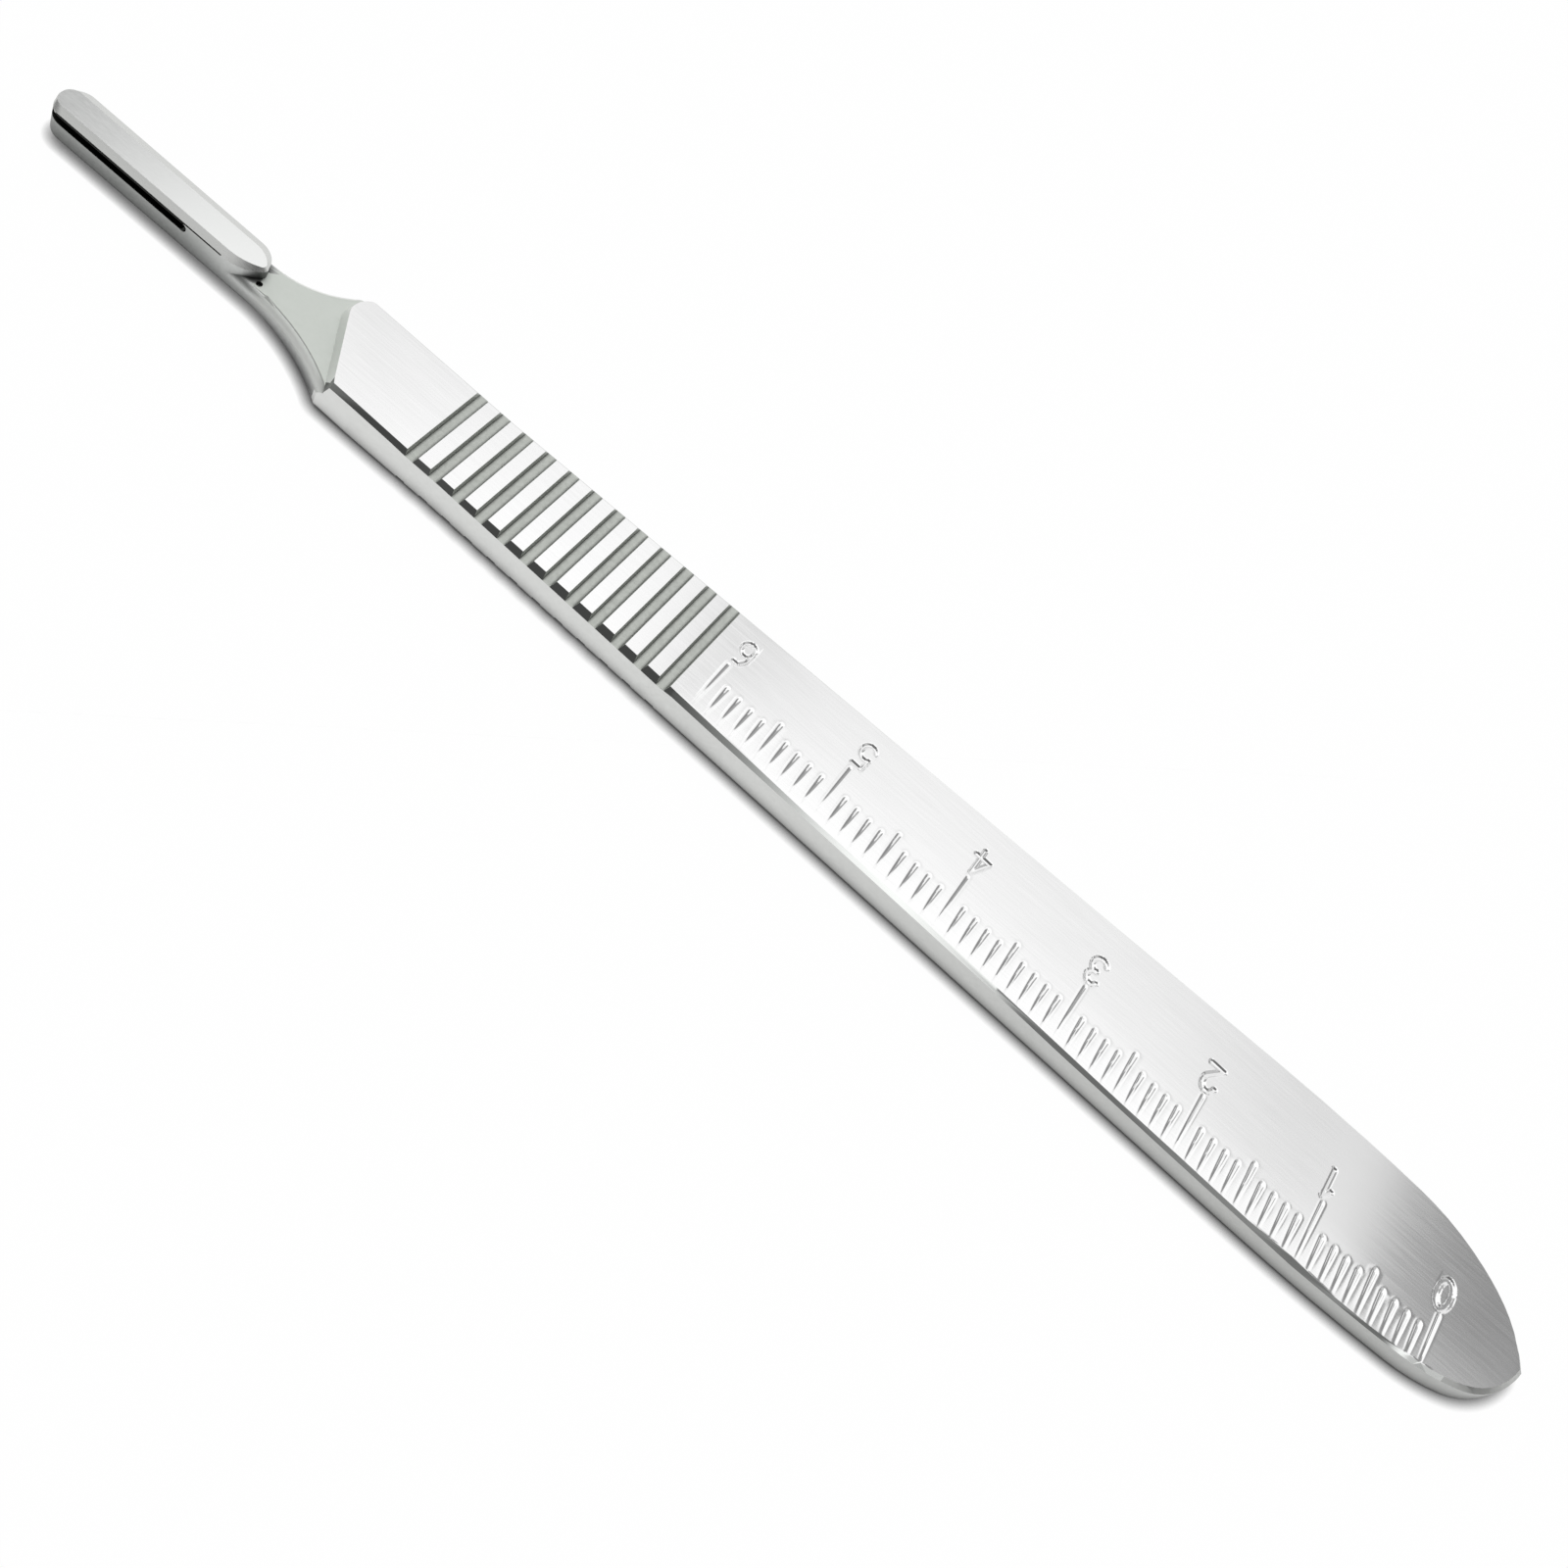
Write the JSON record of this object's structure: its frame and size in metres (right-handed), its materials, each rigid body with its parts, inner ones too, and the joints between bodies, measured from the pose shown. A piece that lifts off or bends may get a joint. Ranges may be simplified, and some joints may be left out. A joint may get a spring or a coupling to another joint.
{
  "type": "scalpel handle",
  "caption": "Flat steel scalpel handle with a slotted blade fitting, a slanting shoulder, a grooved grip, a cut ruler and a pointed oval tail.",
  "frame": {"origin": "middle of the bounding box, on the back face that the handle lies on", "axes": "+X from the blade end to the tail, -Y to the edge with the ruler, +Z out of the face with the ruler"},
  "size_m": [0.1212, 0.0117, 0.0028],
  "materials": {
    "satin_steel": "satin ground faces, matt grooves and neck, polished long edges"
  },
  "bodies": {
    "root": {"scalpel_handle": "satin_steel"}
  },
  "joints": []
}
